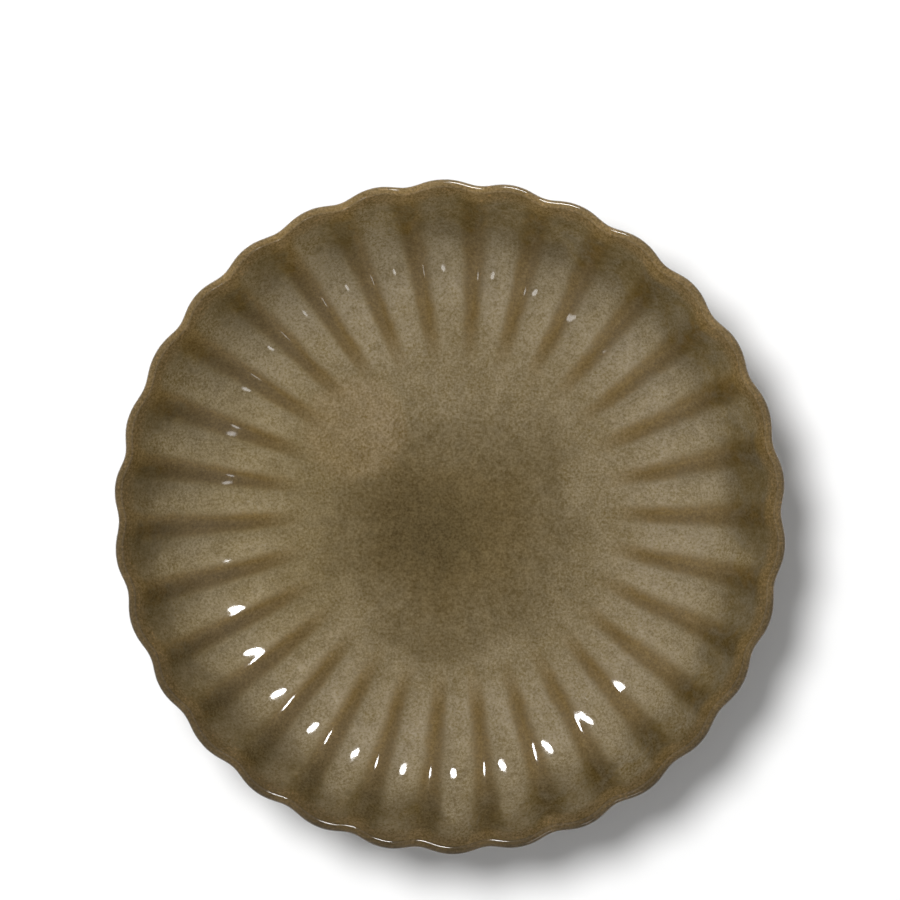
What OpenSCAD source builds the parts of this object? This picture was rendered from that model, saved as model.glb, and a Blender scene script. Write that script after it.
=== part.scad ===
// Fluted soy sauce dish in glazed stoneware, shaped like an open chrysanthemum.
// Lengths are in millimetres. The dish stands on its foot ring at z = 0, with its axis on +Z.

/* [Dish] */
// Width across opposite petal tips
dish_d = 110; // [96:1:130]
// Height from the table to the top of the rim
dish_h = 21; // [19:0.5:25]
// Number of petals round the dish, an even number
petal_count = 30; // [20:2:40]
// Slope of the inside of the wall where it reaches the rim, in degrees
rim_slope = 52; // [46:1:60]
// Slope of the outside of the wall where it reaches the rim, in degrees
rim_back_slope = 60; // [54:1:66]

/* [Flutes] */
// Width of the nearly flat floor, out to where the wall bends up
floor_d = 70; // [62:1:74]
// Rise of the floor from its centre to its edge
floor_rise = 0.8; // [0.1:0.1:1.2]
// Width of the plain middle of the floor, inside the ribs
plain_d = 46; // [38:1:56]
// Height of a rib above the flutes beside it, where it is fully grown
rib_h = 1.1; // [0.4:0.1:1.6]
// Depth of a notch in the rim, seen from above
notch_depth = 0.9; // [0.3:0.1:1.4]

/* [Clay] */
// Thickness of the clay at the rim
rim_clay_t = 1; // [0.8:0.1:1.8]
// Thickness of the clay under the centre of the floor
base_clay_t = 3.2; // [2.8:0.1:4]
// Slope of the underside where it leaves the flat base, in degrees
base_slope = 6; // [2:1:9]

/* [Glaze] */
// Thickness of the glaze pooled on the floor
floor_glaze_t = 0.5; // [0.4:0.05:0.8]
// Thickness of the glaze on the underside
back_glaze_t = 0.4; // [0.3:0.05:0.6]
// Thickness of the glaze where it thins over the rim
rim_glaze_t = 0.3; // [0.25:0.05:0.45]
// Bare clay left between the glaze and the foot ring
bare_band_w = 0.9; // [0.6:0.1:1.2]

/* [Foot ring] */
// Outside width of the foot ring where it joins the base
foot_d = 56; // [48:1:60]
// Height from the table to the flat base
foot_h = 3.5; // [2.5:0.5:5]
// Width of the ring's section where it joins the base
foot_w = 4.6; // [3.6:0.2:6]
// Inward lean of each side of the ring, from base to table
foot_lean = 0.5; // [0.2:0.1:0.8]
// Radius on the ring's lower edges
foot_edge_r = 0.8; // [0.4:0.1:1]
// Thickness of the slip that joins the ring to the base
slip_t = 0.25; // [0.1:0.05:0.5]
// Radius of the slip smoothed into the corners beside the ring
slip_cove_r = 0.5; // [0.2:0.1:0.6]

/* [Hidden] */
$fn = 96;

clay_colour = "#b39a78";
slip_colour = "#a58a68";
glaze_colour = "#827558";

// Flat of the base that is left outside the foot ring
base_margin = 2.2;
// Width over which the edge of a glaze coat thins away to nothing
glaze_edge_w = 0.7;

// Share of a rib's run to the rim over which it grows to its full height
rib_grow_share = 0.62;
// Share that draws a rib narrower and its flute broader than a plain wave
rib_narrow_share = 0.2;
// Degrees by which the steps round a petal crowd towards its ribs
step_crowd_angle = 18;
// Direction of the lip's crest, in degrees above outwards
lip_crest_angle = 90;

// Steps round one petal on the glazed face, and on every other surface
face_steps = 8;
plain_steps = face_steps / 2;
// Rows up the wall inside and outside, and across the ribbed edge of the floor
face_rows = 5;
back_rows = 4;
floor_rows = 2;
// Rows round the lip inside its crest, and outside it on the glaze and on the clay
lip_in_rows = 2;
lip_glaze_rows = 3;
lip_clay_rows = 2;
// Steps round a lower edge of the foot ring and round a cove of slip
edge_steps = 4;

floor_r = floor_d / 2;
plain_r = plain_d / 2;
foot_r = foot_d / 2;
foot_hole_r = foot_r - foot_w;
base_r = foot_r + base_margin;
floor_clay_z = foot_h + base_clay_t;
floor_slope = atan(2 * floor_rise / floor_r);
lip_clay_r = rim_clay_t / 2;
lip_r = lip_clay_r + rim_glaze_t;
// Centre of the round of the lip, at a petal tip, as [radius, height]
lip_centre = [dish_d / 2 - lip_r, dish_h - lip_r];
// Directions at which the inside and the outside of the wall run into the lip
lip_in_angle = rim_slope + 90;
lip_out_angle = rim_back_slope - 90;
// Top of the foot ring, under its slip
ring_top_z = foot_h - slip_t;

// Curves in the dish's section, as [radius, height]

function aim(angle) = [cos(angle), sin(angle)];
function ease(share) = share * share * (3 - 2 * share);
function blend(a, b, share) = a + (b - a) * share;

// Where the line through a at slope a_slope meets the line through b at slope b_slope
function corner(a, a_slope, b, b_slope) =
    let (r = (b.y - a.y + a.x * tan(a_slope) - b.x * tan(b_slope)) / (tan(a_slope) - tan(b_slope)))
    [r, a.y + (r - a.x) * tan(a_slope)];

// Height of a rib that runs from radius start to radius end, seen at radius r:
// it grows from nothing to rib_h, then changes evenly to the depth of the rim's notch
function rib_at(r, start, end) =
    let (share = (r - start) / (end - start))
    share < rib_grow_share
        ? rib_h * ease(share / rib_grow_share)
        : blend(rib_h, notch_depth, (share - rib_grow_share) / (1 - rib_grow_share));

// A station is [point at mid petal, move from there to the rib crest].
// The wall leaves a at slope a_slope and bends up to reach b, at the rim, at slope b_slope.
// Its ribs start at radius rib_r. They stand square to it low down and point level inwards at the rim.
function wall(a, a_slope, b, b_slope, rows, rib_r) =
    let (c = corner(a, a_slope, b, b_slope))
    [for (i = [0 : rows])
        let (
            share = i / rows,
            run = blend(c - a, b - c, share),
            lean = blend(atan2(run.y, run.x), 90, share * share),
            place = blend(blend(a, c, share), blend(c, b, share), share)
        )
        [place, rib_at(place.x, rib_r, b.x) * aim(lean + 90)]];

// Round of the lip, after its first point
function lip(radius, from_angle, to_angle, rows) = [for (i = [1 : rows])
    [lip_centre + radius * aim(blend(from_angle, to_angle, i / rows)), notch_depth * aim(180)]];

// The floor and the fluted wall up to the crest of the lip, under glaze of the given thicknesses
function face(floor_t, rim_t) =
    let (end = lip_centre + (lip_clay_r + rim_t) * aim(lip_in_angle))
    concat(
        [for (i = [0 : floor_rows - 1])
            let (r = blend(plain_r, floor_r, i / floor_rows))
            [[r, floor_clay_z + floor_t + floor_rise * pow(r / floor_r, 2)],
                rib_at(r, plain_r, end.x) * aim(90)]],
        wall([floor_r, floor_clay_z + floor_t + floor_rise], floor_slope, end, rim_slope, face_rows, plain_r),
        lip(lip_clay_r + rim_t, lip_in_angle, lip_crest_angle, lip_in_rows));

// The underside from the crest of the lip down to the flat base
function underside(base_t, rim_t, lip_rows) =
    let (up = wall([base_r, foot_h - base_t], base_slope,
        lip_centre + (lip_clay_r + rim_t) * aim(lip_out_angle), rim_back_slope, back_rows, base_r))
    concat(
        lip(lip_clay_r + rim_t, lip_crest_angle, lip_out_angle, lip_rows),
        [for (i = [back_rows - 1 : -1 : 0]) up[i]]);

function backwards(list) = [for (i = [len(list) - 1 : -1 : 0]) list[i]];

// Closed skins of rings round the axis

// Phase round a petal, in degrees from its rib, after a share of its steps
function phase(share) = 360 * share - step_crowd_angle * sin(360 * share);

// Share of the rib's full height at a phase
function rib_share(phase) = (1 + cos(phase)) / 2 - rib_narrow_share * (1 - cos(2 * phase)) / 2;

function ring(station, steps) = [for (petal = [0 : petal_count - 1], step = [0 : steps - 1])
    let (
        turn = phase(step / steps),
        place = station[0] + station[1] * rib_share(turn),
        angle = (360 * petal + turn) / petal_count
    )
    [place.x * cos(angle), place.x * sin(angle), place.y]];

function rings(stations, steps) = [for (station = stations) ring(station, steps)];

// Faces between a ring of n points and the next, which has as many or half as many.
// Four corners are split the shorter way, so two skins that share rings share faces too.
function band(points, start, n, next_start, next_n) = n == next_n
    ? [for (j = [0 : n - 1])
        let (
            a = start + j,
            b = start + (j + 1) % n,
            c = next_start + j,
            d = next_start + (j + 1) % n,
            a_to_d = norm(points[d] - points[a]) < norm(points[c] - points[b])
        )
        each (a_to_d ? [[a, b, d], [a, d, c]] : [[a, b, c], [b, d, c]])]
    : [for (j = [0 : next_n - 1])
        let (
            a = start + 2 * j,
            mid = a + 1,
            b = start + (2 * j + 2) % n,
            c = next_start + j,
            d = next_start + (j + 1) % next_n
        )
        each [[a, mid, c], [mid, d, c], [mid, b, d]]];

function starts(loops) = [for (i = 0, at = 0; i < len(loops); at = at + len(loops[i]), i = i + 1) at];

// Faces from a ring in to one point on the axis
function fan(start, n, hub) = [for (j = [0 : n - 1]) [start + j, hub, start + (j + 1) % n]];

// A skin of rings that starts at one point on the axis and ends at another
module skin(loops, top_z, bottom_z) {
    last = len(loops) - 1;
    at = starts(loops);
    top_hub = at[last] + len(loops[last]);
    points = concat([for (loop = loops) each loop], [[0, 0, top_z], [0, 0, bottom_z]]);
    sides = [for (i = [0 : last - 1])
        each band(points, at[i], len(loops[i]), at[i + 1], len(loops[i + 1]))];
    bottom = [for (f = fan(at[last], len(loops[last]), top_hub + 1)) backwards(f)];
    polyhedron(points, concat(fan(at[0], len(loops[0]), top_hub), sides, bottom));
}

// Pieces

clay_face = face(0, 0);
clay_underside = underside(0, 0, lip_clay_rows);

// Pressed clay shell, fluted on both sides, with a flat base
module stoneware_body() {
    color(clay_colour)
        skin(rings(concat(clay_face, clay_underside), plain_steps), floor_clay_z, foot_h);
}

// One coat over the fluted face, the lip and the underside, thinned to an edge outside the foot ring
module glaze_coat() {
    edge_r = foot_r + bare_band_w;
    edge = [
        [[edge_r + glaze_edge_w, foot_h - back_glaze_t], [0, 0]],
        [[edge_r, foot_h], [0, 0]]
    ];
    on_clay = backwards(concat(clay_face, clay_underside));
    color(glaze_colour) skin(concat(
            rings(face(floor_glaze_t, rim_glaze_t), face_steps),
            rings(underside(back_glaze_t, rim_glaze_t, lip_glaze_rows), plain_steps),
            rings(edge, plain_steps),
            rings(on_clay, plain_steps)),
        floor_clay_z + floor_glaze_t, floor_clay_z);
}

// Ring with rounded lower edges, bare of glaze, that the dish stands on
module foot_ring() {
    low_r = foot_r - foot_lean;
    low_hole_r = foot_hole_r + foot_lean;
    function edge(x, from_angle) = [for (i = [0 : edge_steps])
        [x, foot_edge_r] + foot_edge_r * aim(from_angle + 90 * i / edge_steps)];
    color(clay_colour) rotate_extrude() polygon(concat(
        [[foot_r, ring_top_z], [foot_hole_r, ring_top_z]],
        edge(low_hole_r + foot_edge_r, 180),
        edge(low_r - foot_edge_r, 270)));
}

// Slip between the ring and the base, smoothed into a cove on both sides of the ring
module luting_slip() {
    // How far the ring's sides have leaned in at the foot of a cove
    cove_lean = foot_lean * slip_cove_r / (ring_top_z - foot_edge_r);
    cove_h = slip_t + slip_cove_r;
    function cove(r, lean, out) = [for (i = [0 : edge_steps])
        let (turn = 90 * i / edge_steps)
        [r + lean + (out - lean) * (1 - cos(turn)), foot_h - cove_h * (1 - sin(turn))]];
    color(slip_colour) rotate_extrude() polygon(concat(
        [[foot_hole_r, ring_top_z], [foot_r, ring_top_z]],
        cove(foot_r, -cove_lean, slip_cove_r),
        backwards(cove(foot_hole_r, cove_lean, -slip_cove_r))));
}

// Glaze poured into the recess inside the foot ring
module recess_glaze() {
    edge_r = foot_hole_r - bare_band_w;
    color(glaze_colour) rotate_extrude() polygon([
        [0, foot_h], [0, foot_h - back_glaze_t],
        [edge_r - glaze_edge_w, foot_h - back_glaze_t], [edge_r, foot_h]]);
}

stoneware_body();
luting_slip();
foot_ring();
glaze_coat();
recess_glaze();
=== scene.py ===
import math

import bpy
from mathutils import Matrix, Vector


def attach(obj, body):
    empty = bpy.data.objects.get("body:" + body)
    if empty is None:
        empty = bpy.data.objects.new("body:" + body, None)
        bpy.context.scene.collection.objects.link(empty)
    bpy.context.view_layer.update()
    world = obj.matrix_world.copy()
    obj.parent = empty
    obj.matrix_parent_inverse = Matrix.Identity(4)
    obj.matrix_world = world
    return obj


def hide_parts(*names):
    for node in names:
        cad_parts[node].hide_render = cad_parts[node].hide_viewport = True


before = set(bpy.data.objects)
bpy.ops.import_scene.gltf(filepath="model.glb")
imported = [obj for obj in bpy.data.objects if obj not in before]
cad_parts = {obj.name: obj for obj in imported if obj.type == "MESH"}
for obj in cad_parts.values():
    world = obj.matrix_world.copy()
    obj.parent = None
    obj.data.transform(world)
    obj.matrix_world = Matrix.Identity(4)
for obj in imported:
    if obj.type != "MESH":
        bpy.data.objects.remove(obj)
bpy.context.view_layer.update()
mm = 0.001

# The dish's sizes in millimetres and degrees, the same as the solids'
dish = {
    "width": 110, "height": 21, "petals": 30,
    "rimSlope": 52, "rimBackSlope": 60, "baseSlope": 6,
    "floorRadius": 35, "floorRise": 0.8, "plainRadius": 23,
    "ribHeight": 1.1, "notchDepth": 0.9, "ribGrow": 0.62,
    "rimClay": 1.0, "baseClay": 3.2, "baseMargin": 2.2,
    "floorGlaze": 0.5, "backGlaze": 0.4, "rimGlaze": 0.3,
    "bareBand": 0.9, "glazeEdge": 0.7,
    "footRadius": 28, "footHeight": 3.5, "footWidth": 4.6, "footLean": 0.5, "footEdge": 0.8,
    "slip": 0.25, "slipCove": 0.5,
}
lipRadius = dish["rimClay"] / 2 + dish["rimGlaze"]
lipCentre = Vector((dish["width"] / 2 - lipRadius, dish["height"] - lipRadius))
floorHeight = dish["footHeight"] + dish["baseClay"]
floorSlope = math.degrees(math.atan(2 * dish["floorRise"] / dish["floorRadius"]))
baseRadius = dish["footRadius"] + dish["baseMargin"]
footHole = dish["footRadius"] - dish["footWidth"]
ringTop = dish["footHeight"] - dish["slip"]


def aim(degrees):
    return Vector((math.cos(math.radians(degrees)), math.sin(math.radians(degrees))))


def ease(share):
    return share * share * (3 - 2 * share)


# A station is one point of the section: its place at mid petal and its move to the rib's crest,
# with how far up the wall it is, and whether it is on the lip or the underside
def station(place, crest=(0, 0), rise=0.0, lip=0.0, under=0.0):
    return {"place": Vector(place), "crest": Vector(crest), "rise": rise, "lip": lip, "under": under}


def ribAt(r, start, end):  # a rib's height at radius r, on its run from start to end
    share = max(0, (r - start) / (end - start))
    if share < dish["ribGrow"]:
        return dish["ribHeight"] * ease(share / dish["ribGrow"])
    beyond = (share - dish["ribGrow"]) / (1 - dish["ribGrow"])
    return dish["ribHeight"] + (dish["notchDepth"] - dish["ribHeight"]) * beyond


# the wall from start to end, bending up on its way
def wallStations(start, startSlope, end, endSlope, rows, ribRadius, under=0.0):
    startTan = math.tan(math.radians(startSlope))
    rimTan = math.tan(math.radians(endSlope))
    r = (end.y - start.y + start.x * startTan - end.x * rimTan) / (startTan - rimTan)
    corner = Vector((r, start.y + (r - start.x) * startTan))
    stations = []
    for i in range(rows + 1):
        share = i / rows
        run = (corner - start).lerp(end - corner, share)
        slope = math.degrees(math.atan2(run.y, run.x))
        lean = slope + (90 - slope) * share * share  # ribs stand square to the wall, and level at the rim
        place = start.lerp(corner, share).lerp(corner.lerp(end, share), share)
        crest = ribAt(place.x, ribRadius, end.x) * aim(lean + 90)
        stations.append(station(place, crest, (place.x - ribRadius) / (end.x - ribRadius), 0, under))
    return stations


lipTurn = {"underTill": -40, "overFrom": 50}  # degrees round the lip, between which underside turns to face


def lipStations(radius, fromAngle, toAngle, rows):
    level = Vector((-dish["notchDepth"], 0))
    stations = []
    for i in range(1, rows + 1):
        angle = fromAngle + (toAngle - fromAngle) * i / rows
        share = (angle - lipTurn["underTill"]) / (lipTurn["overFrom"] - lipTurn["underTill"])
        outside = 1 - ease(min(1, max(0, share)))
        stations.append(station(lipCentre + radius * aim(angle), level, 1, 1, outside))
    return stations


def faceStations(floorGlaze, rimGlaze, rows):  # from the axis to the lip's crest
    radius = dish["rimClay"] / 2 + rimGlaze
    inAngle = dish["rimSlope"] + 90
    end = lipCentre + radius * aim(inAngle)
    stations = []
    for i in range(rows["floor"]):
        r = dish["floorRadius"] * i / rows["floor"]
        height = floorHeight + floorGlaze + dish["floorRise"] * (r / dish["floorRadius"]) ** 2
        rise = max(0, (r - dish["plainRadius"]) / (end.x - dish["plainRadius"]))
        stations.append(station((r, height), ribAt(r, dish["plainRadius"], end.x) * aim(90), rise))
    start = Vector((dish["floorRadius"], floorHeight + floorGlaze + dish["floorRise"]))
    stations += wallStations(start, floorSlope, end, dish["rimSlope"], rows["wall"], dish["plainRadius"])
    return stations + lipStations(radius, inAngle, 90, rows["lip"])


def underStations(backGlaze, rimGlaze, rows):  # from the lip's crest to the flat base
    radius = dish["rimClay"] / 2 + rimGlaze
    outAngle = dish["rimBackSlope"] - 90
    start = Vector((baseRadius, dish["footHeight"] - backGlaze))
    end = lipCentre + radius * aim(outAngle)
    wall = wallStations(start, dish["baseSlope"], end, dish["rimBackSlope"], rows["back"], baseRadius, 1.0)
    return lipStations(radius, 90, outAngle, rows["backLip"]) + wall[-2::-1]


def makeSection(name, stations):  # a line of points that carries the stations' facts
    mesh = bpy.data.meshes.new(name)
    points = [(s["place"].x * mm, 0, s["place"].y * mm) for s in stations]
    mesh.from_pydata(points, [(i, i + 1) for i in range(len(points) - 1)], [])
    crest = mesh.attributes.new("crest", "FLOAT_VECTOR", "POINT")
    for i, s in enumerate(stations):
        crest.data[i].vector = (s["crest"].x * mm, 0, s["crest"].y * mm)
    for fact in ("rise", "lip", "under"):
        values = mesh.attributes.new(fact, "FLOAT", "POINT")
        for i, s in enumerate(stations):
            values.data[i].value = s[fact]
    section = bpy.data.objects.new(name, mesh)
    bpy.context.scene.collection.objects.link(section)
    return section


# Short ways to wire nodes, in geometry and in materials
def feed(tree, socket, value):
    if isinstance(value, bpy.types.NodeSocket):
        tree.links.new(value, socket)
    else:
        socket.default_value = value


def addNode(tree, kind, settings=None, inputs=None):
    node = tree.nodes.new(kind)
    count = len(tree.nodes)
    node.location = (count * 60 - 1400, -(count % 7) * 150)
    for key, value in (settings or {}).items():
        setattr(node, key, value)
    for key, value in (inputs or {}).items():
        feed(tree, node.inputs[key], value)
    return node


def calc(tree, operation, a, b=None, c=None):
    values = {i: v for i, v in enumerate((a, b, c)) if v is not None}
    return addNode(tree, "ShaderNodeMath", {"operation": operation}, values).outputs[0]


def span(tree, value, low, high, toLow=0.0, toHigh=1.0):  # eased step from low to high
    inputs = dict(enumerate((value, low, high, toLow, toHigh)))
    return addNode(tree, "ShaderNodeMapRange", {"interpolation_type": "SMOOTHSTEP"}, inputs).outputs[0]


def splitXyz(tree, vector):
    return addNode(tree, "ShaderNodeSeparateXYZ", None, {0: vector}).outputs


petalWork = {
    "columns": 20,        # columns of faces across one petal
    "crowd": 0.07,        # how far they crowd towards its ribs
    "ribRound": 0.14,     # share of the flute's half width that rounds off a rib's crest
    "scoop": 1.8,         # how steeply a flute falls away from its ribs
    "lipSoft": 0.10,      # how much narrower than a plain wave the rim's notches are
    "lipFrom": 0.75,      # share of a rib's run where it begins to turn into a notch
    "ribWander": 0.007,   # radians that a rib may stand off its even place
    "ribUneven": 0.10,    # share by which rib heights vary
    "seamGap": 1e-6,      # points closer than this, in metres, are merged
    "seed": 11,
    "placeDraw": 0, "heightDraw": 7, "petalDraw": 3,  # added to the seed, one for each kind of draw
}


def petalTree():  # turns a section round the axis, with a rib between each two flutes
    tree = bpy.data.node_groups.new("petalTurning", "GeometryNodeTree")
    for name, kind, default in (
        ("Section", "NodeSocketGeometry", None), ("Rows", "NodeSocketInt", 10),
        ("Petals", "NodeSocketInt", dish["petals"]),
        ("Petal Columns", "NodeSocketInt", petalWork["columns"]),
        ("Column Crowding", "NodeSocketFloat", petalWork["crowd"]),
        ("Rib Rounding", "NodeSocketFloat", petalWork["ribRound"]),
        ("Flute Steepness", "NodeSocketFloat", petalWork["scoop"]),
        ("Notch Narrowing", "NodeSocketFloat", petalWork["lipSoft"]),
        ("Notch Start", "NodeSocketFloat", petalWork["lipFrom"]),
        ("Rib Wander", "NodeSocketFloat", petalWork["ribWander"]),
        ("Rib Unevenness", "NodeSocketFloat", petalWork["ribUneven"]),
        ("Merge Distance", "NodeSocketFloat", petalWork["seamGap"]),
        ("Seed", "NodeSocketInt", petalWork["seed"]),
        ("Finish", "NodeSocketMaterial", None),
    ):
        socket = tree.interface.new_socket(name, in_out="INPUT", socket_type=kind)
        if default is not None:
            socket.default_value = default
    tree.interface.new_socket("Dish", in_out="OUTPUT", socket_type="NodeSocketGeometry")
    given = addNode(tree, "NodeGroupInput").outputs

    def do(operation, a, b=None, c=None):
        return calc(tree, operation, a, b, c)

    columns = do("MULTIPLY", given["Petals"], given["Petal Columns"])
    grid = addNode(tree, "GeometryNodeMeshGrid", None, {
        "Size X": 1.0, "Size Y": 1.0, "Vertices X": do("ADD", columns, 1), "Vertices Y": given["Rows"]})
    spot = splitXyz(tree, addNode(tree, "GeometryNodeInputPosition").outputs[0])
    row = do("ROUND", do("MULTIPLY", do("ADD", spot[1], 0.5), do("SUBTRACT", given["Rows"], 1)))

    # which petal a point is in, and how far across it from its rib
    around = do("MULTIPLY", do("ADD", spot[0], 0.5), given["Petals"])
    petal = do("FLOOR", do("ADD", around, 0.0005))  # so that no point on a rib falls back a petal
    even = do("SUBTRACT", around, petal)
    crowded = do("MULTIPLY", do("SINE", do("MULTIPLY", even, math.tau)), given["Column Crowding"])
    across = do("SUBTRACT", even, crowded)

    # scooped flutes that meet in narrow round crests
    off = do("SUBTRACT", 1.0, do("ABSOLUTE", do("MULTIPLY_ADD", across, 2.0, -1.0)))
    roundSquare = do("MULTIPLY", given["Rib Rounding"], given["Rib Rounding"])

    def rounded(distance):
        slant = do("SQRT", do("MULTIPLY_ADD", distance, distance, roundSquare))
        return do("SUBTRACT", slant, given["Rib Rounding"])

    fall = do("SUBTRACT", 1.0, do("DIVIDE", rounded(off), rounded(1.0)))
    scoop = do("POWER", fall, given["Flute Steepness"])
    # the rim's softer notches
    wave = do("MULTIPLY_ADD", do("COSINE", do("MULTIPLY", across, math.tau)), 0.5, 0.5)
    twice = do("MULTIPLY_ADD", do("COSINE", do("MULTIPLY", across, 2 * math.tau)), -0.5, 0.5)
    notch = do("SUBTRACT", wave, do("MULTIPLY", twice, given["Notch Narrowing"]))

    # each rib's own place and height, eased from one rib to the next
    ribHere = do("MODULO", petal, given["Petals"])
    ribNext = do("MODULO", do("ADD", petal, 1), given["Petals"])

    def chance(rib, shift, low=-1.0):
        node = addNode(tree, "FunctionNodeRandomValue", {"data_type": "FLOAT"}, {
            2: low, 3: 1.0, "ID": rib, "Seed": do("ADD", given["Seed"], shift)})
        return node.outputs[1]

    def ribChance(shift):
        here = chance(ribHere, shift)
        gap = do("SUBTRACT", chance(ribNext, shift), here)
        return do("MULTIPLY_ADD", gap, span(tree, across, 0, 1), here)

    wander = do("MULTIPLY", ribChance(petalWork["placeDraw"]), given["Rib Wander"])
    uneven = do("MULTIPLY_ADD", ribChance(petalWork["heightDraw"]), given["Rib Unevenness"], 1.0)

    def fromSection(kind, value):
        node = addNode(tree, "GeometryNodeSampleIndex", {"data_type": kind, "domain": "POINT"}, {
            "Geometry": given["Section"], "Value": value, "Index": row})
        return node.outputs[0]

    def fact(kind, name):
        node = addNode(tree, "GeometryNodeInputNamedAttribute", {"data_type": kind}, {"Name": name})
        return node.outputs[0]

    sectionPlace = addNode(tree, "GeometryNodeInputPosition").outputs[0]
    place = splitXyz(tree, fromSection("FLOAT_VECTOR", sectionPlace))
    crest = splitXyz(tree, fromSection("FLOAT_VECTOR", fact("FLOAT_VECTOR", "crest")))
    rise = fromSection("FLOAT", fact("FLOAT", "rise"))
    atRim = span(tree, rise, given["Notch Start"], 1.0)
    rib = do("MULTIPLY_ADD", do("SUBTRACT", notch, scoop), atRim, scoop)
    push = do("MULTIPLY", rib, uneven)
    radius = do("MULTIPLY_ADD", crest[0], push, place[0])
    height = do("MULTIPLY_ADD", crest[2], push, place[2])
    share = do("DIVIDE", do("ADD", petal, across), given["Petals"])
    angle = do("MULTIPLY_ADD", share, math.tau, wander)
    newPlace = addNode(tree, "ShaderNodeCombineXYZ", None, {
        0: do("MULTIPLY", radius, do("COSINE", angle)),
        1: do("MULTIPLY", radius, do("SINE", angle)), 2: height}).outputs[0]

    # facts that the glaze reads, kept on the points
    mesh = grid.outputs["Mesh"]
    # a sine across each petal, which the glaze uses to paint shade on the rib flanks
    flankSine = do("SINE", do("MULTIPLY", across, math.tau))
    petalChance = chance(ribHere, petalWork["petalDraw"], 0.0)
    facts = {"rib": wave, "flankSine": flankSine, "petalChance": petalChance, "rise": rise}
    for name in ("lip", "under"):
        facts[name] = fromSection("FLOAT", fact("FLOAT", name))
    for name, value in facts.items():
        mesh = addNode(tree, "GeometryNodeStoreNamedAttribute", {"data_type": "FLOAT", "domain": "POINT"}, {
            "Geometry": mesh, "Name": name, "Value": value}).outputs[0]
    mesh = addNode(tree, "GeometryNodeSetPosition", None, {
        "Geometry": mesh, "Position": newPlace}).outputs[0]
    mesh = addNode(tree, "GeometryNodeMergeByDistance", None, {
        "Geometry": mesh, "Distance": given["Merge Distance"]}).outputs[0]
    mesh = addNode(tree, "GeometryNodeFlipFaces", None, {"Mesh": mesh}).outputs[0]  # outwards
    mesh = addNode(tree, "GeometryNodeSetShadeSmooth", None, {"Geometry": mesh}).outputs[0]
    mesh = addNode(tree, "GeometryNodeRealizeInstances", None, {"Geometry": mesh}).outputs[0]
    mesh = addNode(tree, "GeometryNodeSetMaterial", None, {
        "Geometry": mesh, "Material": given["Finish"]}).outputs[0]
    addNode(tree, "NodeGroupOutput", None, {"Dish": mesh})
    return tree


turning = petalTree()


def turnPiece(name, stations, finish, sizes=None):
    sockets = {s.name: s.identifier for s in turning.interface.items_tree if s.in_out == "INPUT"}
    section = makeSection(name + "Section", stations)
    modifier = section.modifiers.new("petalTurning", "NODES")
    modifier.node_group = turning
    for key, value in {"Rows": len(stations), "Finish": finish, **(sizes or {})}.items():
        modifier[sockets[key]] = value
    depsgraph = bpy.context.evaluated_depsgraph_get()
    mesh = bpy.data.meshes.new_from_object(section.evaluated_get(depsgraph))
    mesh.name = name
    section.modifiers.remove(modifier)
    line = section.data
    bpy.data.objects.remove(section)
    bpy.data.meshes.remove(line)
    piece = bpy.data.objects.new(name, mesh)
    bpy.context.scene.collection.objects.link(piece)
    print("turned", name + ":", len(mesh.polygons), "faces")
    return piece


# Shader groups that several finishes share
def newGroup(name, inputs, outputs):
    tree = bpy.data.node_groups.new(name, "ShaderNodeTree")
    for label, kind, default in inputs:
        socket = tree.interface.new_socket(label, in_out="INPUT", socket_type=kind)
        if default is not None:
            socket.default_value = default
    for label, kind in outputs:
        tree.interface.new_socket(label, in_out="OUTPUT", socket_type=kind)
    return tree, addNode(tree, "NodeGroupInput").outputs


def noise(tree, vector, scale, detail=3.0, roughness=0.55, distortion=0.0):
    node = addNode(tree, "ShaderNodeTexNoise", None, {
        "Vector": vector, "Scale": scale, "Detail": detail,
        "Roughness": roughness, "Distortion": distortion})
    return node.outputs["Fac"]


def layer(tree, factor, under, over, blend="MIX"):
    node = addNode(tree, "ShaderNodeMix", {"data_type": "RGBA", "blend_type": blend}, {
        0: factor, 6: under, 7: over})
    return node.outputs[2]


kilnWork = {
    "cloud": {"detail": 3.0, "roughness": 0.5, "distortion": 0.4},
    "drift": {"detail": 2.0, "roughness": 0.5, "distortion": 0.8},
    "grain": {"detail": 4.0, "roughness": 0.75},
    "driftFiner": 2.7,              # how many times finer than the clouds the drift is
    "driftShare": 0.20,             # share of the drift in the shading
    "strength": (0.86, 1.0, 1.55),  # dark specks are brown and pale ones grey
}


def kilnSpeckGroup():  # soft clouds and a fine stony grain, all about 0.5, and the shading that they give
    tree, given = newGroup("kilnSpeck", [
        ("Vector", "NodeSocketVector", None), ("Cloud Size", "NodeSocketFloat", 0.01),
        ("Grain Size", "NodeSocketFloat", 0.0005), ("Dark Speck", "NodeSocketColor", None),
        ("Pale Speck", "NodeSocketColor", None),
    ], [("Cloud", "NodeSocketFloat"), ("Drift", "NodeSocketFloat"), ("Grain", "NodeSocketFloat"),
        ("Shade", "NodeSocketColor")])
    cloudScale = calc(tree, "DIVIDE", 1.0, given["Cloud Size"])
    grainScale = calc(tree, "DIVIDE", 1.0, given["Grain Size"])
    driftScale = calc(tree, "MULTIPLY", cloudScale, kilnWork["driftFiner"])
    cloud = noise(tree, given["Vector"], cloudScale, **kilnWork["cloud"])
    drift = noise(tree, given["Vector"], driftScale, **kilnWork["drift"])
    grain = noise(tree, given["Vector"], grainScale, **kilnWork["grain"])
    uneven = calc(tree, "MULTIPLY_ADD", calc(tree, "SUBTRACT", drift, 0.5), kilnWork["driftShare"], grain)
    shade = layer(tree, span(tree, uneven, 0.2, 0.8), given["Dark Speck"], given["Pale Speck"])
    addNode(tree, "NodeGroupOutput", None, {"Cloud": cloud, "Drift": drift, "Grain": grain, "Shade": shade})
    return tree


kilnSpeck = kilnSpeckGroup()


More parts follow.
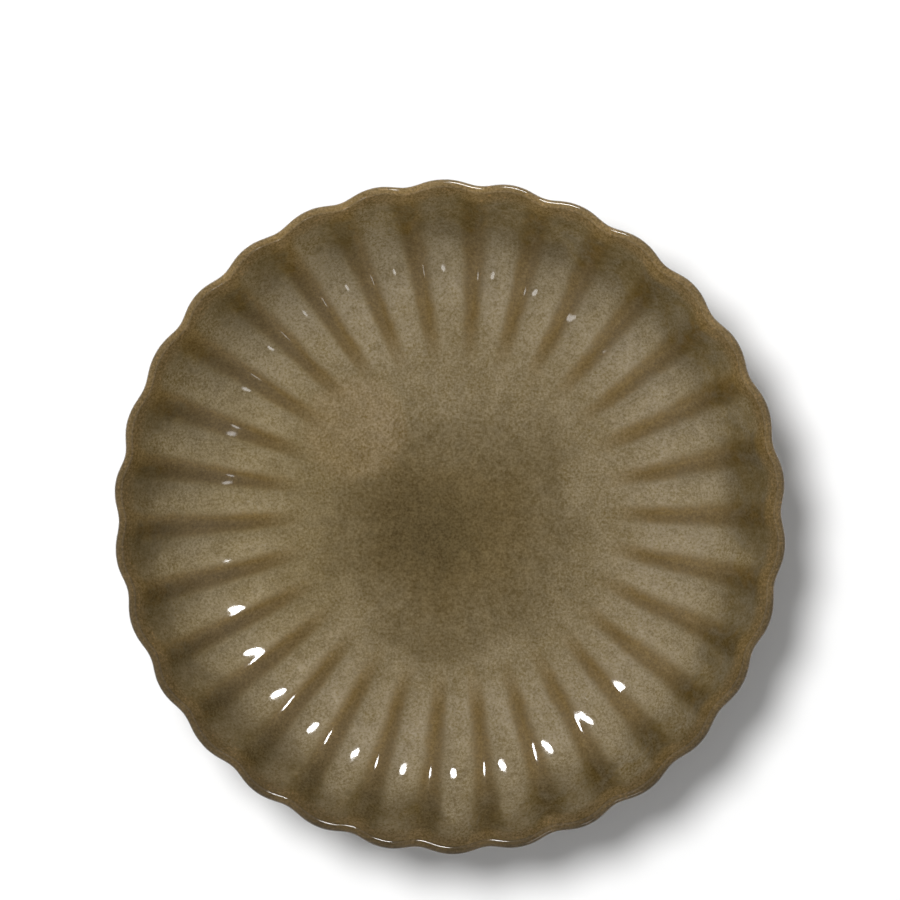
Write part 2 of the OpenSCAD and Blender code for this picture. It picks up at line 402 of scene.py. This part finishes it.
def newFinish(name):
    material = bpy.data.materials.new(name)
    material.use_nodes = True
    tree = material.node_tree
    shader = tree.nodes["Principled BSDF"]
    coords = addNode(tree, "ShaderNodeTexCoord").outputs["Object"]
    return material, tree, shader, coords


def specks(tree, coords, finish):
    dark = [1 - finish["grainDepth"] * strength for strength in kilnWork["strength"]]
    pale = [1 + finish["grainDepth"] * strength for strength in kilnWork["strength"]]
    node = addNode(tree, "ShaderNodeGroup", {"node_tree": kilnSpeck}, {
        "Vector": coords, "Cloud Size": finish["cloudSize"], "Grain Size": finish["grainSize"],
        "Dark Speck": (*dark, 1), "Pale Speck": (*pale, 1)})
    return node.outputs


def addBumps(tree, shader, height, finish):
    bump = addNode(tree, "ShaderNodeBump", None, {
        "Strength": finish["bumpStrength"], "Distance": finish["bumpDistance"], "Height": height})
    feed(tree, shader.inputs["Normal"], bump.outputs[0])


def colourRamp(tree, value, stops):
    node = addNode(tree, "ShaderNodeValToRGB", None, {0: value})
    elements = node.color_ramp.elements
    node.color_ramp.interpolation = "EASE"
    while len(elements) < len(stops):
        elements.new(0.5)
    for element, (place, colour) in zip(elements, stops):
        element.position = place
        element.color = (*colour, 1)
    return node.outputs["Color"]


glaze = {
    # colours of the flutes from the centre of the floor out to the rim
    "flutes": [
        (0.00, (0.085, 0.059, 0.021)), (0.16, (0.088, 0.061, 0.023)), (0.32, (0.100, 0.073, 0.033)),
        (0.48, (0.143, 0.109, 0.057)), (0.66, (0.174, 0.137, 0.080)), (0.80, (0.155, 0.119, 0.063)),
        (0.93, (0.101, 0.0745, 0.036)),
    ],
    "core": (0.056, 0.038, 0.012), "bloom": (0.172, 0.125, 0.065), "thin": (0.099, 0.063, 0.0185),
    # the smudge colour below also serves as painted shade on the rib flanks
    "smudgeAndShade": (0.064, 0.0445, 0.0155), "blueGrey": (0.105, 0.094, 0.070),
    "lip": (0.095, 0.0635, 0.0248), "rust": (0.150, 0.074, 0.018),
    # tones that multiply the colour under them, all painted shade: on the rib flanks, on the west side and
    # at the east rib ends
    "flankShadeTone": (0.99, 0.93, 0.72), "westShadeTone": (0.915, 0.895, 0.79), "ribEndShadeTone": (0.68, 0.64, 0.52),
    # how much of what is under it each mark covers
    "coreCover": 0.8, "bloomCover": 0.55, "patchCover": 0.14, "ribCover": 0.97, "smudgeCover": 0.8,
    "lipCover": 0.85, "backLipCover": 0.55, "rustCover": 0.6,
    # marks on the floor, and the direction in degrees of the light that is painted across the ribs
    "middleShift": (0.4 * mm, -3.0 * mm), "paintedLightFrom": 75,
    "corePlace": (-4.6 * mm, -2.9 * mm, 7 * mm), "coreWidth": 13 * mm,
    "bloomPlace": (-16.6 * mm, 14.5 * mm, 7 * mm), "bloomWidth": 9.8 * mm,
    # shares of a rib's run, which is 0 at its start and 1 at the lip
    "ribRun": (0.03, 0.34), "smudgeRun": (0.65, 0.89), "lipRun": (0.940, 0.985), "dullRun": (0.84, 0.94),
    # how far each mottle breaks up a mark's edge
    "middleBreak": {"cloud": 0.34}, "coreBreak": {"cloud": 10 * mm}, "bloomBreak": {"drift": 3 * mm},
    "ribBreak": {"drift": 0.5, "mottle": 0.14, "grain": 0.5},
    "smudgeBreak": {"drift": 0.8, "grain": 1.6, "cloud": 1.6, "mottle": 0.9},
    "lipBreak": {"drift": 0.05, "mottle": 0.015}, "lightAndShadeBreak": {"mottle": 0.15},
    # painted light and shade, and paler ribs by the lip: shares by which the colours above turn paler or
    # darker
    "paintedFarLight": 0.58, "paintedNearShade": 0.24, "ribPaler": 0.12, "flankShadeDepth": 0.33,
    "lipRibPaler": 0.22, "lipWestShade": -0.20, "lipCrownShade": -0.16,
    # mottles, with their sizes in metres, and the shine
    "cloudSize": 0.011, "mottleSize": 0.0016, "mottleSpread": 2.4, "grainSize": 0.00042, "grainDepth": 0.6,
    "mottleNoise": {"detail": 2.0, "roughness": 0.65},
    "roughness": (0.05, 0.10), "rimRoughness": 0.15,
    "bumpStrength": 0.10, "bumpDistance": 0.0003, "bumpGrain": 0.02,
}


def glazeFinish():
    material, tree, shader, coords = newFinish("reactiveGlaze")

    def do(operation, a, b=None, c=None):
        return calc(tree, operation, a, b, c)

    def times(product, *others):
        for other in others:
            product = do("MULTIPLY", product, other)
        return product

    def ramp(value, low, high, toLow=0.0, toHigh=1.0):
        return span(tree, value, low, high, toLow, toHigh)

    def fact(name):
        return addNode(tree, "ShaderNodeAttribute", {"attribute_name": name}).outputs["Fac"]

    def farFrom(place):
        node = addNode(tree, "ShaderNodeVectorMath", {"operation": "DISTANCE"}, {0: coords, 1: place})
        return node.outputs["Value"]

    def flatDistance(x, y):
        return do("SQRT", do("ADD", do("MULTIPLY", x, x), do("MULTIPLY", y, y)))

    def broken(value, shares):  # an even value, broken up by shares of the mottles
        for name, share in shares.items():
            value = do("MULTIPLY_ADD", mottles[name], share, value)
        return value

    def coat(base, factor, name, blend="MIX"):
        return layer(tree, factor, base, (*glaze[name], 1), blend)

    rib, flankSine, rise = (fact(name) for name in ("rib", "flankSine", "rise"))
    lip, under, chance = (fact(name) for name in ("lip", "under", "petalChance"))
    offLip = do("SUBTRACT", 1.0, lip)
    speck = specks(tree, coords, glaze)
    mottles = {name.lower(): do("SUBTRACT", speck[name], 0.5) for name in ("Cloud", "Drift", "Grain")}
    mottle = do("SUBTRACT", noise(tree, coords, 1 / glaze["mottleSize"], **glaze["mottleNoise"]), 0.5)
    mottles["mottle"] = times(mottle, glaze["mottleSpread"])

    # the middle is darker and lies a little off centre, and outward is 0 there and 1 at the rim
    spot = splitXyz(tree, coords)
    half = dish["width"] / 2 * mm
    fromAxis = flatDistance(spot[0], spot[1])
    pull = ramp(fromAxis, 0.25 * half, 0.65 * half, 1.0, 0.0)
    middleX = do("SUBTRACT", spot[0], times(pull, glaze["middleShift"][0]))
    middleY = do("SUBTRACT", spot[1], times(pull, glaze["middleShift"][1]))
    outward = do("DIVIDE", flatDistance(middleX, middleY), half)
    colour = colourRamp(tree, broken(outward, glaze["middleBreak"]), glaze["flutes"])
    core = broken(farFrom(glaze["corePlace"]), glaze["coreBreak"])
    core = ramp(core, 0.1 * glaze["coreWidth"], glaze["coreWidth"], glaze["coreCover"], 0.0)
    colour = coat(colour, core, "core")
    # a paler patch beside it
    bloom = broken(farFrom(glaze["bloomPlace"]), glaze["bloomBreak"])
    bloom = ramp(bloom, 0.70 * glaze["bloomWidth"], glaze["bloomWidth"], glaze["bloomCover"], 0.0)
    colour = coat(colour, bloom, "bloom")
    # painted shade and light across each rib: flanks turned away from a light at 75 degrees are darker and
    # warmer, flanks turned to it paler, and one flank of every rib is a little darker all round
    outDistance = do("MAXIMUM", fromAxis, mm)
    east, north = (do("DIVIDE", place, outDistance) for place in spot[:2])
    paintedLightX, paintedLightY = aim(glaze["paintedLightFrom"])
    facingLight = do("SUBTRACT", times(east, paintedLightY), times(north, paintedLightX))
    flankShadeAmount = times(facingLight, ramp(rise, 0.05, 0.45, 0.0, 0.28))
    flankShadeAmount = do("SUBTRACT", flankShadeAmount, ramp(rise, 0.1, 0.9, 0.07, 0.18))
    slope = do("MULTIPLY_ADD", rib, 0.75, 0.25)
    flankToneAndShade = times(flankSine, slope, flankShadeAmount, ramp(rise, 0.93, 1.0, 1.54, 0.3))
    colour = coat(colour, ramp(flankToneAndShade, -0.45, -0.05, 1.0, 0.0), "flankShadeTone", "MULTIPLY")
    # painted shade: a browner, darker tone on the west side, fading towards the rim
    west = times(ramp(east, -1.0, -0.5, 1.0, 0.0), ramp(outward, 0.15, 0.45))
    westShade = times(west, ramp(outward, 0.68, 0.92, 1.0, 0.55))
    colour = coat(colour, westShade, "westShadeTone", "MULTIPLY")
    # brown patches in the flutes, and brown where the glaze runs thin on the ribs
    patchy = ramp(mottles["mottle"], -0.30, -0.02, glaze["patchCover"], 0.0)
    colour = coat(colour, times(patchy, ramp(outward, 0.42, 0.70)), "thin")
    # the brown band on each rib is pushed onto the flank in painted shade
    crest = broken(do("MULTIPLY_ADD", flankToneAndShade, -0.8, rib), glaze["ribBreak"])
    onRib = times(ramp(crest, 0.36, 1.0), ramp(rise, *glaze["ribRun"]))
    colour = coat(colour, times(onRib, glaze["ribCover"]), "thin")
    # olive smudges towards the rim, over the ribs at the front; elsewhere they lie on the rib flanks in
    # painted shade, and there they are partly painted shade
    nearRim = times(ramp(rise, *glaze["smudgeRun"]), ramp(rise, 0.935, 0.985, 1.0, 0.15))
    spread = times(do("SUBTRACT", rib, 0.44), ramp(north, -0.9, -0.2, 1.3, 0.0))
    for value, share in ((times(rib, west), -0.35), (chance, 0.25), (flankToneAndShade, -0.8)):
        spread = do("MULTIPLY_ADD", value, share, spread)
    spread = broken(spread, glaze["smudgeBreak"])
    smudgeAndShade = times(nearRim, ramp(spread, -0.22, 0.48, 0.0, glaze["smudgeCover"]))
    colour = coat(colour, smudgeAndShade, "smudgeAndShade")
    # painted shade darkening the rib ends, and a blue-grey tint, both stronger on the east side
    ribEndShade = times(onRib, nearRim, ramp(east, -0.6, 0.5, 0.15, 0.8))
    colour = coat(colour, ribEndShade, "ribEndShadeTone", "MULTIPLY")
    tint = times(nearRim, ramp(east, -0.5, 0.8, 0.05, 0.22), ramp(mottles["drift"], -0.15, 0.20))
    colour = coat(colour, tint, "blueGrey")
    # brown over the lip, with rusty specks
    edge = broken(do("MULTIPLY_ADD", rib, -0.008, rise), glaze["lipBreak"])
    cover = ramp(under, 0.3, 0.9, glaze["lipCover"], glaze["backLipCover"])
    onLip = times(ramp(edge, *glaze["lipRun"]), cover)
    colour = coat(colour, onLip, "lip")
    rust = times(onLip, ramp(mottles["grain"], 0.04, 0.20, 0.0, glaze["rustCover"]))
    colour = coat(colour, rust, "rust")
    # painted light and shade: paler at the far wall and lip, darker at the near rim and lip, darker and
    # paler on the rib flanks, darker on the lip's crown; and the ribs paler by the lip
    onRim = times(lip, ramp(under, 0.1, 0.8, 0.6, 0.2))
    farLight = do("MAXIMUM", north, times(north, onRim))
    farLight = times(farLight, ramp(rise, 0.70, 1.0, 0.0, glaze["paintedFarLight"]))
    nearShade = times(ramp(north, -0.9, -0.2, 1.0, 0.0), ramp(rise, 0.93, 0.985, 0.0, glaze["paintedNearShade"]))
    byLip = do("SUBTRACT", times(rib, ramp(rise, 0.94, 0.975, 0.0, glaze["ribPaler"])), nearShade)
    paintedFlankShade = times(do("MINIMUM", flankToneAndShade, times(flankToneAndShade, 0.6)), glaze["flankShadeDepth"])
    # painted shade: over the ribs the lip is darker on the west side
    lipRib = do("MULTIPLY_ADD", west, glaze["lipWestShade"], glaze["lipRibPaler"])
    lightAndShadeScale = do("MULTIPLY_ADD", lip, do("MULTIPLY_ADD", rib, lipRib, glaze["lipCrownShade"]), 1.0)
    for value in (paintedFlankShade, farLight, times(byLip, offLip)):
        lightAndShadeScale = do("ADD", lightAndShadeScale, value)
    scale = {0: colour, "Scale": broken(lightAndShadeScale, glaze["lightAndShadeBreak"])}
    colour = addNode(tree, "ShaderNodeVectorMath", {"operation": "SCALE"}, scale).outputs[0]
    grainy = do("ADD", ramp(outward, 0.25, 0.60, 1.0, 0.78), ramp(outward, 0.68, 0.95, 0.0, 0.22))
    feed(tree, shader.inputs["Base Color"], layer(tree, grainy, colour, speck["Shade"], "MULTIPLY"))
    # duller just inside the lip, where the glaze is thin
    dull = times(ramp(rise, *glaze["dullRun"], 0.0, glaze["rimRoughness"]), offLip)
    rough = ramp(mottles["drift"], -0.2, 0.2, *glaze["roughness"])
    feed(tree, shader.inputs["Roughness"], do("ADD", rough, dull))
    addBumps(tree, shader, do("MULTIPLY_ADD", speck["Grain"], glaze["bumpGrain"], speck["Drift"]), glaze)
    return material


recess = {
    "thin": (0.078, 0.056, 0.026), "thick": (0.114, 0.090, 0.052),
    "cloudSize": 0.009, "grainSize": 0.00042, "grainDepth": 0.3,
    "roughness": (0.08, 0.16), "bumpStrength": 0.12, "bumpDistance": 0.0004,
}


def recessFinish():
    material, tree, shader, coords = newFinish("recessGlaze")
    speck = specks(tree, coords, recess)
    pooled = span(tree, speck["Cloud"], 0.35, 0.65)
    colour = layer(tree, pooled, (*recess["thin"], 1), (*recess["thick"], 1))
    feed(tree, shader.inputs["Base Color"], layer(tree, 1.0, colour, speck["Shade"], "MULTIPLY"))
    feed(tree, shader.inputs["Roughness"], span(tree, speck["Drift"], 0.3, 0.7, *recess["roughness"]))
    addBumps(tree, shader, speck["Drift"], recess)
    return material


bareClay = {
    "pale": (0.40, 0.285, 0.175), "toasted": (0.27, 0.165, 0.085), "fleck": (0.07, 0.042, 0.024),
    "fleckCover": 0.85, "flecksPerMetre": 620.0, "fleckSize": (0.10, 0.20),
    "cloudSize": 0.008, "grainSize": 0.0004, "grainDepth": 0.18,
    "roughness": (0.72, 0.9), "bumpStrength": 0.5, "bumpDistance": 0.0002,
}
firedSlip = {**bareClay, "pale": bareClay["toasted"], "fleckCover": 0.2, "grainSize": 0.0003}


def clayFinish(name, clay):
    material, tree, shader, coords = newFinish(name)
    speck = specks(tree, coords, clay)
    colour = layer(tree, span(tree, speck["Cloud"], 0.38, 0.66), (*clay["pale"], 1), (*clay["toasted"], 1))
    colour = layer(tree, 1.0, colour, speck["Shade"], "MULTIPLY")
    cells = addNode(tree, "ShaderNodeTexVoronoi", {"feature": "F1"}, {
        "Vector": coords, "Scale": clay["flecksPerMetre"]})
    fleck = span(tree, cells.outputs["Distance"], *clay["fleckSize"], clay["fleckCover"], 0.0)
    feed(tree, shader.inputs["Base Color"], layer(tree, fleck, colour, (*clay["fleck"], 1)))
    feed(tree, shader.inputs["Roughness"], span(tree, speck["Grain"], 0.3, 0.7, *clay["roughness"]))
    addBumps(tree, shader, speck["Grain"], clay)
    return material


glazeMaterial = glazeFinish()
recessMaterial = recessFinish()
clayMaterial = clayFinish("bareStoneware", bareClay)
slipMaterial = clayFinish("firedSlip", firedSlip)
print("finishes made")

def inwardStations(radius, height, rows):  # level, from just inside the radius to the axis
    return [station((radius * (rows - 1 - i) / rows, height)) for i in range(rows)]


# Glaze: outer skin from the floor's centre to its edge by the foot ring, then back along the clay
clayRows = {"floor": 12, "wall": 20, "lip": 4, "backLip": 8, "back": 16, "base": 6}
coatRows = {"floor": 18, "wall": 36, "lip": 8, "backLip": 12, "back": 22, "edge": 4}
clayFace = faceStations(0, 0, clayRows)
clayUnder = underStations(0, 0, clayRows)
edgeRadius = dish["footRadius"] + dish["bareBand"]
glazeStations = faceStations(dish["floorGlaze"], dish["rimGlaze"], coatRows)
glazeStations += underStations(dish["backGlaze"], dish["rimGlaze"], coatRows)
for i in range(coatRows["edge"] + 1):  # rounded edge of the coat
    turn = math.radians(90 * i / coatRows["edge"])
    glazeStations.append(station((
        edgeRadius + dish["glazeEdge"] * (1 - math.sin(turn)),
        dish["footHeight"] - dish["backGlaze"] * math.cos(turn)), under=1))
glazeStations += (clayFace + clayUnder)[::-1]
glazeCoat = turnPiece("glazeCoat", glazeStations, glazeMaterial)

clayBase = inwardStations(baseRadius, dish["footHeight"], clayRows["base"])
stonewareBody = turnPiece("stonewareBody", clayFace + clayUnder + clayBase, clayMaterial)


def edgeStations(centre, radius, fromAngle, rows):
    return [station(Vector(centre) + radius * aim(fromAngle + 90 * i / rows)) for i in range(rows + 1)]


turnedPlain = {"Petal Columns": 8, "Rib Wander": 0.0, "Rib Unevenness": 0.0}
ringRows = {"edge": 6}
edge = dish["footEdge"]
lowRadius = dish["footRadius"] - dish["footLean"]
lowHole = footHole + dish["footLean"]
ringStations = [station((dish["footRadius"], ringTop)), station((footHole, ringTop))]
ringStations += edgeStations((lowHole + edge, edge), edge, 180, ringRows["edge"])
ringStations += edgeStations((lowRadius - edge, edge), edge, 270, ringRows["edge"])
ringStations.append(station((dish["footRadius"], ringTop)))
footRing = turnPiece("footRing", ringStations[::-1], clayMaterial, turnedPlain)


slipRows = {"cove": 6}


def coveStations(radius, lean, out):
    rise = dish["slip"] + dish["slipCove"]
    stations = []
    for i in range(slipRows["cove"] + 1):
        turn = math.radians(90 * i / slipRows["cove"])
        stations.append(station((
            radius + lean + (out - lean) * (1 - math.cos(turn)),
            dish["footHeight"] - rise * (1 - math.sin(turn)))))
    return stations


coveLean = dish["footLean"] * dish["slipCove"] / (ringTop - edge)
slipStations = [station((footHole, ringTop)), station((dish["footRadius"], ringTop))]
slipStations += coveStations(dish["footRadius"], -coveLean, dish["slipCove"])
slipStations += coveStations(footHole, coveLean, -dish["slipCove"])[::-1]
slipStations.append(station((footHole, ringTop)))
lutingSlip = turnPiece("lutingSlip", slipStations[::-1], slipMaterial, turnedPlain)

recessRows = {"edge": 4, "middle": 6}
recessEdge = footHole - dish["bareBand"]
recessStations = [station((0, dish["footHeight"])), station((recessEdge, dish["footHeight"]))]
for i in range(1, recessRows["edge"] + 1):
    turn = math.radians(90 * i / recessRows["edge"])
    recessStations.append(station((
        recessEdge - dish["glazeEdge"] * (1 - math.cos(turn)),
        dish["footHeight"] - dish["backGlaze"] * math.sin(turn))))
recessFace = dish["footHeight"] - dish["backGlaze"]
recessStations += inwardStations(recessEdge - dish["glazeEdge"], recessFace, recessRows["middle"])
recessGlaze = turnPiece("recessGlaze", recessStations, recessMaterial, turnedPlain)

for piece, node, slot in (
    (glazeCoat, "glaze_coat", "glaze"), (stonewareBody, "stoneware_body", "clay"),
    (footRing, "foot_ring", "clay"), (lutingSlip, "luting_slip", "slip"),
    (recessGlaze, "recess_glaze", "glaze"),
):
    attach(piece, "root")
    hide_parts(node)
print("pieces in place")

# Pale table, studio light and camera
table = {"half": 4.0, "colour": (0.75, 0.75, 0.75), "roughness": 0.9, "shine": 0.1}
tableMesh = bpy.data.meshes.new("table")
half = table["half"]
corners = [(-half, -half, 0), (half, -half, 0), (half, half, 0), (-half, half, 0)]
tableMesh.from_pydata(corners, [], [(0, 1, 2, 3)])
tableTop = bpy.data.objects.new("table", tableMesh)
bpy.context.scene.collection.objects.link(tableTop)
tableMaterial = bpy.data.materials.new("paleTable")
tableMaterial.use_nodes = True
tableShader = tableMaterial.node_tree.nodes["Principled BSDF"]
tableShader.inputs["Base Color"].default_value = (*table["colour"], 1)
tableShader.inputs["Roughness"].default_value = table["roughness"]
tableShader.inputs["Specular IOR Level"].default_value = table["shine"]
tableMesh.materials.append(tableMaterial)

# one lamp lights the glaze and casts the shadow, and two only show as highlights
studio = {
    "key": {"azimuth": 125, "height": 69.6, "distance": 1.0, "wide": 0.36, "tall": 0.36, "watts": 11.2,
            "gloss": False, "matt": True},
    "backGlint": {"azimuth": 82, "height": 37, "distance": 0.9, "wide": 0.31, "tall": 0.14, "watts": 5.2,
                  "gloss": True, "matt": False},
    "frontGlint": {"azimuth": -72, "height": 42, "distance": 0.9, "wide": 0.13, "tall": 0.11, "watts": 0.24,
                   "gloss": True, "matt": False},
}
for name, lamp in studio.items():
    light = bpy.data.lights.new(name, "AREA")
    light.shape = "ELLIPSE"
    light.size = lamp["wide"]
    light.size_y = lamp["tall"]
    light.energy = lamp["watts"]
    flat = lamp["distance"] * aim(lamp["azimuth"]) * math.cos(math.radians(lamp["height"]))
    place = Vector((flat.x, flat.y, lamp["distance"] * math.sin(math.radians(lamp["height"]))))
    holder = bpy.data.objects.new(name, light)
    holder.matrix_world = Matrix.Translation(place) @ place.to_track_quat("Z", "Y").to_matrix().to_4x4()
    holder.visible_glossy = lamp["gloss"]
    holder.visible_diffuse = lamp["matt"]
    bpy.context.scene.collection.objects.link(holder)

room = {
    "greys": [(0.0, 0.14), (0.22, 0.40), (0.50, 0.74), (0.75, 0.64), (1.0, 0.33)],  # from level to overhead
    "strength": 0.82,
}
world = bpy.data.worlds.new("room")
bpy.context.scene.world = world
world.use_nodes = True
roomTree = world.node_tree
upward = splitXyz(roomTree, addNode(roomTree, "ShaderNodeTexCoord").outputs["Generated"])[2]
sky = colourRamp(roomTree, upward, [(place, (grey, grey, grey)) for place, grey in room["greys"]])
feed(roomTree, roomTree.nodes["Background"].inputs["Color"], sky)
roomTree.nodes["Background"].inputs["Strength"].default_value = room["strength"]
print("table, lamps and room in place")

view = {
    "distance": 0.70, "tiltRight": 5.0, "tiltUp": 1.5, "roll": 0.85,
    "pixelsPerMm": 6.150, "centre": (447.5, 517.8), "frame": 900, "sensor": 36.0,
}
rimMiddle = Vector((0, 0, dish["height"] * mm))
tiltRight, tiltUp, roll = (math.radians(view[name]) for name in ("tiltRight", "tiltUp", "roll"))
towards = Vector((math.sin(tiltRight), math.sin(tiltUp), 1)).normalized()
upImage = Vector((math.sin(roll), math.cos(roll), 0))
right = upImage.cross(towards).normalized()
up = towards.cross(right)
turned = Matrix((right, up, towards)).transposed().to_4x4()
camera = bpy.data.objects.new("camera", bpy.data.cameras.new("camera"))
camera.data.sensor_width = view["sensor"]
camera.data.lens = view["pixelsPerMm"] / mm * view["distance"] * view["sensor"] / view["frame"]
camera.data.shift_x = -(view["centre"][0] - view["frame"] / 2) / view["frame"]
camera.data.shift_y = (view["centre"][1] - view["frame"] / 2) / view["frame"]
camera.matrix_world = Matrix.Translation(rimMiddle + towards * view["distance"]) @ turned
bpy.context.scene.collection.objects.link(camera)
bpy.context.scene.camera = camera
bpy.context.scene.view_settings.view_transform = "Standard"
print("camera lens", round(camera.data.lens, 1))
